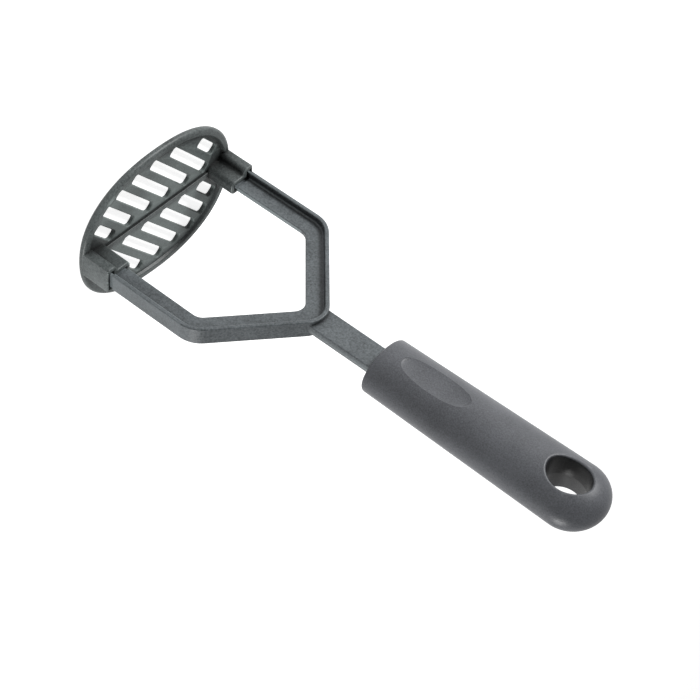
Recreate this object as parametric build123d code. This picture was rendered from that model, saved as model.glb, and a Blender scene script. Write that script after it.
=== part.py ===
from build123d import *
from math import atan2, ceil, cos, pi, radians, sin, sqrt, tan
import os

# A potato masher that stands on its mashing face. X runs from socket to socket, Z up the
# handle, and the thumb rest faces -Y. The origin is the middle of the flat underside.

# Masher head: an oval slotted plate with a rim, a centre rib and two sockets
head_length = 91.6
head_depth = 71.6
oval_power = 2.27
oval_points = 16
plate_thick = 2.1
rim_height = 3.4
rim_top_width = 3.4
rim_foot_width = 4.1
rim_outer_round = 1.6
rim_inner_round = 0.5
rib_width = 2.8
rib_rise = 1.2
rib_round = 0.5
slot_width = 5.0
slot_pitch = 8.63
slot_lean = 47.9
slot_corner_round = 1.6
slot_edge_break = 0.35
slot_rim_margin = 1.1
slot_row_shift = 0.15
slot_rib_margin = 0.7
slot_least_length = 7.0
socket_height = 17.0
socket_wall = 1.9
socket_set_in = 0.3
socket_crease_round = 1.2
socket_corner_round = 1.0
socket_lip_round = 0.7
socket_mouth_flare = 0.8

# Yoke: two legs, two slanted arms and a flat stem, with a flange along the outer edge
leg_inset = 1.9
leg_gap = 0.35
tenon_step = 0.5
shoulder_rise = 1.3
arm_width = 9.9
flange_depth = 8.7
flange_thick = 2.0
flange_round = 0.6
web_thick = 2.4
web_round = 0.4
root_round = 0.8
bend_height = 57.5
apex_height = 86.6
outer_bend_radius = 13.3
outer_apex_radius = 11.0
inner_bend_radius = 5.5
inner_apex_radius = 5.4
stem_width = 13.2
stem_thick = 4.2
stem_round = 0.5
stem_draft = 8.0
tang_length = 62.0

# Grip: an oval bar with a rounded butt, a thumb rest, a hang hole and a slot for the tang
grip_start = 128.0
grip_length = 111.2
grip_front_width = 28.4
grip_front_depth = 22.0
grip_butt_width = 32.4
grip_butt_depth = 22.2
butt_dome = 15.5
grip_front_round = 1.2
tang_gap = 0.2
thumb_rest_centre = 26.2
thumb_rest_length = 34.0
thumb_rest_width = 16.0
thumb_rest_drop = 1.4
hole_from_butt = 18.8
hole_mouth_length = 20.0
hole_mouth_width = 16.2
hole_throat_length = 19.0
hole_throat_width = 14.4
hole_mouth_round = 0.9

# One overrun serves every cut
overrun = 1.0

half_length = head_length / 2
half_depth = head_depth / 2
leg_outer = half_length - leg_inset
slot_turn = radians(90 - slot_lean)
arm_lean = atan2(leg_outer - arm_width, apex_height - bend_height)


def oval_point(half_x, half_y, angle):
    """A point of an oval that is a little fuller at its corners than an ellipse."""
    reach_x = abs(cos(angle)) ** (2 / oval_power)
    reach_y = abs(sin(angle)) ** (2 / oval_power)
    x = half_x * reach_x if cos(angle) > 0 else -half_x * reach_x
    y = half_y * reach_y if sin(angle) > 0 else -half_y * reach_y
    return x, y


def oval_face(inset):
    """The head's outline, drawn in by an inset."""
    angles = [pi / 2 + 2 * pi * i / oval_points for i in range(oval_points)]
    points = [oval_point(half_length - inset, half_depth - inset, angle) for angle in angles]
    return make_face(Spline(*points, periodic=True))


def leg_section():
    """The leg's T section on the +X side: a web that ends in a deeper flange."""
    web = Pos(leg_outer - arm_width / 2, 0) * Rectangle(arm_width, web_thick)
    flange = Pos(leg_outer - flange_thick / 2, 0) * Rectangle(flange_thick, flange_depth)
    return web + flange


def in_slot_field(across, along):
    """Whether a point, measured across and along the slots, lies in the oval that they fill."""
    x = across * cos(slot_turn) + along * sin(slot_turn)
    y = across * sin(slot_turn) - along * cos(slot_turn)
    inset = rim_foot_width + slot_rim_margin
    share_x = abs(x) / (half_length - inset)
    share_y = abs(y) / (half_depth - inset)
    return share_x ** oval_power + share_y ** oval_power < 1


def field_edge(across, inside, outside):
    """The place along a slot's side where it leaves the field, found by halving."""
    for _ in range(40):
        middle = (inside + outside) / 2
        if in_slot_field(across, middle):
            inside = middle
        else:
            outside = middle
    return inside


def slot_span(across):
    """Where a slanted slot of the row on the +Y side starts and ends along its length."""
    squeeze = (half_length ** 2 - half_depth ** 2) * cos(slot_turn) * sin(slot_turn)
    squeeze = squeeze / ((half_length * cos(slot_turn)) ** 2 + (half_depth * sin(slot_turn)) ** 2)
    sides = [across - slot_width / 2, across + slot_width / 2]
    starts = [field_edge(side, side * squeeze, -head_length) for side in sides]
    ends = [field_edge(side, side * squeeze, head_length) for side in sides]
    rib_side = rib_width / 2 + slot_rib_margin
    rib_end = (sides[0] * sin(slot_turn) - rib_side) / cos(slot_turn)
    return across, max(starts), min(ends + [rib_end])


def slot_tool(across, start, end):
    """One slot as a solid that cuts it, a little wider where it meets the plate's top."""
    place = Rot(0, 0, -slot_lean) * Pos((start + end) / 2, across, 0)
    outline = place * RectangleRounded(end - start, slot_width, slot_corner_round)
    straight = extrude(outline, plate_thick + overrun) + extrude(outline, -overrun)
    return straight + extrude(Pos(0, 0, plate_thick - slot_edge_break) * outline, slot_edge_break, taper=-45)


def slot_row():
    """All slots of the row on the +Y side that find room between the rib and the rim."""
    reach = ceil(half_length / slot_pitch)
    spans = [slot_span(number * slot_pitch - slot_row_shift) for number in range(-reach, reach + 1)]
    return [slot_tool(*span) for span in spans if span[2] - span[1] > slot_least_length]


def masher_head():
    """The whole head is one moulding, flat underneath."""
    body = extrude(oval_face(0), rim_height)
    body = fillet(body.edges(), rim_outer_round)
    foot = Pos(0, 0, plate_thick) * oval_face(rim_foot_width)
    brim = Pos(0, 0, rim_height) * oval_face(rim_top_width)
    body = body - [loft([foot, brim]), extrude(brim, overrun)]
    body = fillet(body.edges().group_by(Axis.Z)[-1].sort_by(SortBy.LENGTH)[0], rim_inner_round)

    rib_top = plate_thick + rib_rise
    rib = Pos(0, 0, rib_top / 2) * Box(2 * (leg_outer - arm_width), rib_width, rib_top)
    rib = fillet(rib.edges().filter_by(Axis.X).group_by(Axis.Z)[-1], rib_round)
    body = body + rib

    back_row = slot_row()
    body = body - (back_row + [Rot(0, 0, 180) * slot for slot in back_row])

    outline = offset(leg_section(), leg_gap + socket_wall + socket_crease_round, kind=Kind.ARC)
    outline = offset(outline, -socket_crease_round, kind=Kind.ARC) & oval_face(socket_set_in)
    outline = fillet(outline.vertices().group_by(Axis.X)[-1], socket_corner_round)
    socket = Pos(0, 0, plate_thick / 2) * extrude(outline, socket_height - plate_thick / 2)
    socket = fillet(socket.edges().group_by(Axis.Z)[-1], socket_lip_round)
    hollow = offset(leg_section(), leg_gap - tenon_step, kind=Kind.INTERSECTION)
    pocket = Pos(0, 0, plate_thick) * extrude(hollow, socket_height)
    flare_foot = Pos(0, 0, socket_height - socket_mouth_flare) * hollow
    pocket = pocket + extrude(flare_foot, 2 * socket_mouth_flare, taper=-45)
    body = body + [socket, Rot(0, 0, 180) * socket]
    return body - [pocket, Rot(0, 0, 180) * pocket]


def yoke_corners(inset):
    """The corners of the yoke's outer line, drawn in by an inset, from leg to leg."""
    half_turn = arm_lean / 2
    x = leg_outer - inset
    bend = bend_height + (arm_width - inset) * tan(half_turn)
    apex = apex_height + (arm_width - inset) / sin(arm_lean)
    return [(x, plate_thick), (x, bend), (0, apex), (-x, bend), (-x, plate_thick)]


def yoke_band(inner_inset, bend_radius, apex_radius, thickness, edge_round):
    """A flat band between the yoke's outer line and a line inside it, with rounded edges."""
    outer_radii = [outer_bend_radius, outer_apex_radius, outer_bend_radius]
    inner_radii = [bend_radius, apex_radius, bend_radius]
    with BuildPart() as band:
        with BuildSketch(Plane.XZ):
            with BuildLine():
                outer = FilletPolyline(*yoke_corners(0), radius=outer_radii)
                inner = FilletPolyline(*yoke_corners(inner_inset), radius=inner_radii)
                Line(outer @ 0, inner @ 0)
                Line(outer @ 1, inner @ 1)
            make_face()
        extrude(amount=thickness / 2, both=True)
        layers = band.edges().group_by(Axis.Y)
        rims = [edge for edge in layers[0] + layers[-1] if edge.center().Z > plate_thick]
        fillet(rims, edge_round)
    return band.part


def tenon_sleeve():
    """What the +X leg loses below its shoulder, where it is drawn in to fit the socket."""
    core = offset(leg_section(), -tenon_step, kind=Kind.INTERSECTION)
    jacket = offset(leg_section(), overrun, kind=Kind.INTERSECTION)
    shoulder = socket_height + shoulder_rise
    length = shoulder - tenon_step
    sleeve = extrude(jacket, shoulder)
    return sleeve - [extrude(core, length), extrude(Pos(0, 0, length) * core, tenon_step, taper=-45)]


def yoke():
    """The yoke is one moulding from the leg ends to the end of the hidden tang."""
    web = yoke_band(arm_width, inner_bend_radius, inner_apex_radius, web_thick, web_round)
    flange_bend = outer_bend_radius - flange_thick
    flange_apex = outer_apex_radius - flange_thick
    flange = yoke_band(flange_thick, flange_bend, flange_apex, flange_depth, flange_round)
    apex_centre = yoke_corners(0)[2][1] - outer_apex_radius / sin(arm_lean)
    flange_middle = outer_apex_radius - flange_thick / 2
    stem_start = apex_centre + sqrt(flange_middle ** 2 - (stem_width / 2) ** 2)
    stem_end = grip_start + tang_length
    outline = Pos(0, (stem_start + stem_end) / 2) * Rectangle(stem_width, stem_end - stem_start)
    half_stem = extrude(Plane.XZ * outline, stem_thick / 2, taper=stem_draft)
    stem = half_stem + Rot(0, 0, 180) * half_stem
    layers = stem.edges().filter_by(Axis.Z).group_by(Axis.Y)
    stem = fillet(layers[0] + layers[-1], stem_round)
    arms = web + flange
    for side in (0, -1):
        root = new_edges(web, flange, combined=arms).group_by(Axis.Y)[side]
        arms = fillet(root, root_round)
    sleeve = tenon_sleeve()
    arms = arms - [sleeve, Rot(0, 0, 180) * sleeve]
    return arms + stem


def grip():
    """A tapering oval bar, domed at the butt."""
    dome_start = grip_start + grip_length - butt_dome
    front = Pos(0, 0, grip_start) * Ellipse(grip_front_width / 2, grip_front_depth / 2)
    butt = Pos(0, 0, dome_start) * Ellipse(grip_butt_width / 2, grip_butt_depth / 2)
    body = loft([front, butt])
    body = fillet(body.edges().group_by(Axis.Z)[0], grip_front_round)
    ball = scale(Sphere(1), (grip_butt_width / 2, grip_butt_depth / 2, butt_dome))
    body = body + Pos(0, 0, dome_start) * split(ball, Plane.XY, keep=Keep.TOP)

    pocket_width = stem_width + 2 * tang_gap
    pocket_thick = stem_thick + 2 * tang_gap
    pocket = Box(pocket_width, pocket_thick, tang_length + overrun)
    body = body - Pos(0, 0, grip_start + (tang_length - overrun) / 2) * pocket

    hole_height = grip_start + grip_length - hole_from_butt
    throat = Ellipse(hole_throat_width / 2, hole_throat_length / 2)
    mouth = Ellipse(hole_mouth_width / 2, hole_mouth_length / 2)
    mouth_plane = Plane.XZ.offset(grip_butt_depth / 2)
    funnel = loft([Plane.XZ * throat, mouth_plane * mouth])
    funnel = Pos(0, 0, hole_height) * funnel
    funnels = funnel + Rot(0, 0, 180) * funnel
    holed = body - funnels
    seams = new_edges(body, funnels, combined=holed)
    mouths = seams.sort_by(SortBy.LENGTH)[-2:]
    body = fillet(mouths, hole_mouth_round)

    rest_height = grip_start + thumb_rest_centre
    swell = (grip_butt_depth - grip_front_depth) / (grip_length - butt_dome)
    surface = (grip_front_depth + swell * thumb_rest_centre) / 2
    dish = scale(Sphere(1), (thumb_rest_width / 2, thumb_rest_drop, thumb_rest_length / 2))
    return body - Pos(0, -surface, rest_height) * dish


os.makedirs("parts", exist_ok=True)
for name, make in (("masher_head", masher_head), ("yoke", yoke), ("grip", grip)):
    export_step(make(), f"parts/{name}.step")
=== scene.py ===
import bpy
from math import radians
from mathutils import Matrix, Vector


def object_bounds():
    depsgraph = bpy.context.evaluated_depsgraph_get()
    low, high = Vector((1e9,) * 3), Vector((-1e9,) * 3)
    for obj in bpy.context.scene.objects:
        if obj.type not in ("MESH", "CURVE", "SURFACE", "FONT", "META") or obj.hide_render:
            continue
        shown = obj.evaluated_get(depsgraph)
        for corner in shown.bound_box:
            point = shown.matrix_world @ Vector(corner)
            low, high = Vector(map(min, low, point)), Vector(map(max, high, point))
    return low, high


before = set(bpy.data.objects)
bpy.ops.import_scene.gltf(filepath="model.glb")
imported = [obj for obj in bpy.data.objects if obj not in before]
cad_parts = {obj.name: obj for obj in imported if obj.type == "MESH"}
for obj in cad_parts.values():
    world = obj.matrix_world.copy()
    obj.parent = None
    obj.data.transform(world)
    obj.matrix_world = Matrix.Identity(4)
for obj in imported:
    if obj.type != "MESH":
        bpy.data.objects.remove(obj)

cad_low, cad_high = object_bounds()


# Masher head: one nylon moulding, an oval slotted plate with a rounded rim, a centre rib and
# two sockets for the legs. It comes out of a spark-eroded tool, so its skin is a fine even grain;
# painted highlight lightens the rim and socket lips, and painted shade darkens its corners.
nylon_sheen = 0.24
dye_patches_per_metre = 45.0
dye_patch_layers = 4.0
speckle_layers = 3.0
speckle_raggedness = 0.65
speckle_share = 0.62
all_dark_below = 0.36
all_pale_above = 0.66
# Painted highlight: sharp outer edges are painted paler by these amounts.
highlight_starts_at = 0.52
highlight_full_at = 0.60
highlight_lightening = (1.9, 1.95, 1.9)
# Painted shade: inner corners are painted darker by these amounts.
shade_full_at = 0.45
shade_none_at = 0.95
shade_rays = 8
grain_strength = 0.8
grain_floor = 0.3
grain_crest = 0.7
roughness_swing = 0.07


def dyed_speckle(tree, place, grain_size, dark, pale):
    """Broad drift and fine speckle of the dyed plastic: gives the speckle and the colour."""
    drift = tree.nodes.new("ShaderNodeTexNoise")
    drift.inputs["Scale"].default_value = dye_patches_per_metre
    drift.inputs["Detail"].default_value = dye_patch_layers
    tree.links.new(place, drift.inputs["Vector"])
    speckle = tree.nodes.new("ShaderNodeTexNoise")
    speckle.inputs["Scale"].default_value = 1.0 / grain_size
    speckle.inputs["Detail"].default_value = speckle_layers
    speckle.inputs["Roughness"].default_value = speckle_raggedness
    tree.links.new(place, speckle.inputs["Vector"])
    blend = tree.nodes.new("ShaderNodeMix")
    blend.inputs["Factor"].default_value = speckle_share
    tree.links.new(drift.outputs["Fac"], blend.inputs["A"])
    tree.links.new(speckle.outputs["Fac"], blend.inputs["B"])
    tint = tree.nodes.new("ShaderNodeValToRGB")
    tint.color_ramp.elements[0].position = all_dark_below
    tint.color_ramp.elements[0].color = dark
    tint.color_ramp.elements[1].position = all_pale_above
    tint.color_ramp.elements[1].color = pale
    tree.links.new(blend.outputs["Result"], tint.inputs["Fac"])
    return speckle.outputs["Fac"], tint.outputs["Color"]


def painted_edge_highlight(tree, colour, pale, highlight_share):
    """Painted highlight: sharp outer edges are painted paler, as where light catches them."""
    shape = tree.nodes.new("ShaderNodeNewGeometry")
    edge = tree.nodes.new("ShaderNodeMapRange")
    edge.inputs["From Min"].default_value = highlight_starts_at
    edge.inputs["From Max"].default_value = highlight_full_at
    edge.inputs["To Max"].default_value = highlight_share
    tree.links.new(shape.outputs["Pointiness"], edge.inputs["Value"])
    highlighted = tree.nodes.new("ShaderNodeMix")
    highlighted.data_type = "RGBA"
    highlight_tint = [level * lightening for level, lightening in zip(pale, highlight_lightening)]
    highlighted.inputs["B"].default_value = (*highlight_tint, 1.0)
    tree.links.new(colour, highlighted.inputs["A"])
    tree.links.new(edge.outputs["Result"], highlighted.inputs["Factor"])
    return highlighted.outputs["Result"]


def painted_corner_shade(tree, colour, shade_reach, darkest_shade):
    """Painted shade: inner corners and the walls of holes are painted darker, as in soft light.
    """
    corner = tree.nodes.new("ShaderNodeAmbientOcclusion")
    corner.inputs["Distance"].default_value = shade_reach
    corner.only_local = True
    corner.samples = shade_rays
    shade = tree.nodes.new("ShaderNodeMapRange")
    shade.inputs["From Min"].default_value = shade_full_at
    shade.inputs["From Max"].default_value = shade_none_at
    shade.inputs["To Min"].default_value = darkest_shade
    shade.inputs["To Max"].default_value = 1.0
    tree.links.new(corner.outputs["AO"], shade.inputs["Value"])
    shaded = tree.nodes.new("ShaderNodeMix")
    shaded.data_type = "RGBA"
    shaded.blend_type = "MULTIPLY"
    shaded.inputs["Factor"].default_value = 1.0
    tree.links.new(colour, shaded.inputs["A"])
    tree.links.new(shade.outputs["Result"], shaded.inputs["B"])
    return shaded.outputs["Result"]


def pebbled_grain(tree, skin, speckle, grain_depth, roughness):
    """The eroded grain of the mould: small pits that also break up the sheen."""
    pits = tree.nodes.new("ShaderNodeBump")
    pits.inputs["Strength"].default_value = grain_strength
    pits.inputs["Distance"].default_value = grain_depth
    tree.links.new(speckle, pits.inputs["Height"])
    tree.links.new(pits.outputs["Normal"], skin.inputs["Normal"])
    gloss = tree.nodes.new("ShaderNodeMapRange")
    gloss.inputs["From Min"].default_value = grain_floor
    gloss.inputs["From Max"].default_value = grain_crest
    gloss.inputs["To Min"].default_value = roughness - roughness_swing
    gloss.inputs["To Max"].default_value = roughness + roughness_swing
    tree.links.new(speckle, gloss.inputs["Value"])
    tree.links.new(gloss.outputs["Result"], skin.inputs["Roughness"])


def moulded_nylon(
    name, dark, pale, grain_size, grain_depth, roughness, highlight_share, shade_reach, darkest_shade
):
    """Dark moulded plastic. Sizes are in metres, and shares and shades run from 0 to 1."""
    material = bpy.data.materials.new(name)
    material.use_nodes = True
    tree = material.node_tree
    skin = tree.nodes["Principled BSDF"]
    skin.inputs["Specular IOR Level"].default_value = nylon_sheen
    place = tree.nodes.new("ShaderNodeTexCoord").outputs["Object"]
    speckle, colour = dyed_speckle(tree, place, grain_size, dark, pale)
    # painted highlight along the sharp edges
    colour = painted_edge_highlight(tree, colour, pale, highlight_share)
    # painted shade in the inner corners
    colour = painted_corner_shade(tree, colour, shade_reach, darkest_shade)
    tree.links.new(colour, skin.inputs["Base Color"])
    pebbled_grain(tree, skin, speckle, grain_depth, roughness)
    return material


def dress(node, material):
    """Gives a piece of the frame its one material."""
    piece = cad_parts[node]
    piece.data.materials.clear()
    piece.data.materials.append(material)


head_nylon = moulded_nylon(
    "head_nylon",
    dark=(0.034, 0.039, 0.039, 1.0),
    pale=(0.120, 0.136, 0.135, 1.0),
    grain_size=0.0009,
    grain_depth=0.00012,
    roughness=0.42,
    # painted edge highlight and painted shade in the corners
    highlight_share=0.75,
    shade_reach=0.030,
    darkest_shade=0.06,
)
dress("masher_head", head_nylon)


# Yoke: one nylon moulding from leg to leg, with a deeper flange along its outer edge and a
# flat stem that runs on into the grip. The legs are pushed into the head's sockets.
yoke_nylon = moulded_nylon(
    "yoke_nylon",
    dark=(0.038, 0.043, 0.046, 1.0),
    pale=(0.122, 0.136, 0.144, 1.0),
    grain_size=0.0009,
    grain_depth=0.00012,
    roughness=0.40,
    # painted edge highlight and painted shade in the corners
    highlight_share=0.75,
    shade_reach=0.012,
    darkest_shade=0.20,
)
dress("yoke", yoke_nylon)


# Grip: an oval bar moulded over the stem, domed at the butt, with a thumb rest and a hang
# hole. Its grain is finer and more even than the nylon's, its edges get only a faint painted
# highlight, and painted shade darkens the walls of the hang hole and its corners.
grip_nylon = moulded_nylon(
    "grip_nylon",
    dark=(0.045, 0.047, 0.052, 1.0),
    pale=(0.092, 0.096, 0.106, 1.0),
    grain_size=0.0006,
    grain_depth=0.00008,
    roughness=0.40,
    # faint painted edge highlight and painted shade in the corners and hole
    highlight_share=0.20,
    shade_reach=0.030,
    darkest_shade=0.06,
)
dress("grip", grip_nylon)


# Floor and backdrop. To the camera, to reflections and through glass they are plain white; to
# the tool they give only a gentle level of light. The floor still takes the tool's shadow.
floor_reach = 4.0
floor_paint_grey = (0.80, 0.80, 0.80, 1.0)
floor_roughness = 0.9
floor_seen_level = 0.80
plain_white = (1.0, 1.0, 1.0, 1.0)
sky_light_level = 0.13
sky_seen_level = 1.0


def seen_or_mirrored(tree):
    """1 for rays from the camera, from a glossy face or through glass, and 0 for all others."""
    ray = tree.nodes.new("ShaderNodeLightPath")
    total = ray.outputs["Is Camera Ray"]
    for kind in ("Is Glossy Ray", "Is Transmission Ray"):
        either = tree.nodes.new("ShaderNodeMath")
        either.operation = "MAXIMUM"
        tree.links.new(total, either.inputs[0])
        tree.links.new(ray.outputs[kind], either.inputs[1])
        total = either.outputs["Value"]
    return total


white_floor = bpy.data.materials.new("white_floor")
white_floor.use_nodes = True
floor_tree = white_floor.node_tree
floor_paint = floor_tree.nodes["Principled BSDF"]
floor_paint.inputs["Base Color"].default_value = floor_paint_grey
floor_paint.inputs["Roughness"].default_value = floor_roughness
floor_paint.inputs["Emission Color"].default_value = plain_white
floor_glow = floor_tree.nodes.new("ShaderNodeMath")
floor_glow.operation = "MULTIPLY"
floor_glow.inputs[1].default_value = floor_seen_level
floor_tree.links.new(seen_or_mirrored(floor_tree), floor_glow.inputs[0])
floor_tree.links.new(floor_glow.outputs["Value"], floor_paint.inputs["Emission Strength"])

floor_corners = [
    (-floor_reach, -floor_reach, 0),
    (floor_reach, -floor_reach, 0),
    (floor_reach, floor_reach, 0),
    (-floor_reach, floor_reach, 0),
]
floor_mesh = bpy.data.meshes.new("floor")
floor_mesh.from_pydata(floor_corners, [], [(0, 1, 2, 3)])
floor = bpy.data.objects.new("floor", floor_mesh)
floor.data.materials.append(white_floor)
bpy.context.scene.collection.objects.link(floor)

sky = bpy.data.worlds.new("sky")
sky.use_nodes = True
sky_tree = sky.node_tree
sky_level = sky_tree.nodes.new("ShaderNodeMapRange")
sky_level.inputs["To Min"].default_value = sky_light_level
sky_level.inputs["To Max"].default_value = sky_seen_level
sky_tree.links.new(seen_or_mirrored(sky_tree), sky_level.inputs["Value"])
backdrop = sky_tree.nodes["Background"]
backdrop.inputs["Color"].default_value = plain_white
sky_tree.links.new(sky_level.outputs["Result"], backdrop.inputs["Strength"])
bpy.context.scene.world = sky


# Lights: a soft key on the thumb-rest side, and a weaker bounce from the other side that
# picks out the lower edges, as a white table would.
tool_middle = (Vector(cad_low) + Vector(cad_high)) / 2
key_place = Vector((-0.72, -0.93, 0.52))
key_size = 0.40
key_watts = 20.5
bounce_place = Vector((0.92, 0.56, 0.42))
bounce_size = 0.35
bounce_watts = 11.5


def soft_lamp(name, place, size, watts):
    """A square soft lamp that looks at the middle of the tool."""
    data = bpy.data.lights.new(name, "AREA")
    data.size = size
    data.energy = watts
    lamp = bpy.data.objects.new(name, data)
    lamp.location = place
    lamp.rotation_euler = (tool_middle - place).to_track_quat("-Z", "Y").to_euler()
    bpy.context.scene.collection.objects.link(lamp)


soft_lamp("key_lamp", key_place, key_size, key_watts)
soft_lamp("bounce_lamp", bounce_place, bounce_size, bounce_watts)


# Camera at the photograph's place and angle. The tool lies across the picture there, so the
# camera is rolled, and everything else stays upright.
camera_place = Vector((0.44715, -0.61045, 0.4134))
camera_azimuth = radians(36.033)
camera_elevation = radians(21.679)
camera_roll = radians(124.465)
camera_lens_mm = 102.108
camera_film_mm = 36.0
camera_near_limit = 0.01
quarter_turn = radians(90)

camera_data = bpy.data.cameras.new("camera")
camera_data.lens = camera_lens_mm
camera_data.sensor_width = camera_film_mm
camera_data.clip_start = camera_near_limit
camera = bpy.data.objects.new("camera", camera_data)
swung = Matrix.Rotation(camera_azimuth, 4, "Z")
tilted = Matrix.Rotation(quarter_turn - camera_elevation, 4, "X")
rolled = Matrix.Rotation(camera_roll, 4, "Z")
camera.matrix_world = Matrix.Translation(camera_place) @ swung @ tilted @ rolled
bpy.context.scene.collection.objects.link(camera)
bpy.context.scene.camera = camera
bpy.context.scene.view_settings.view_transform = "Standard"
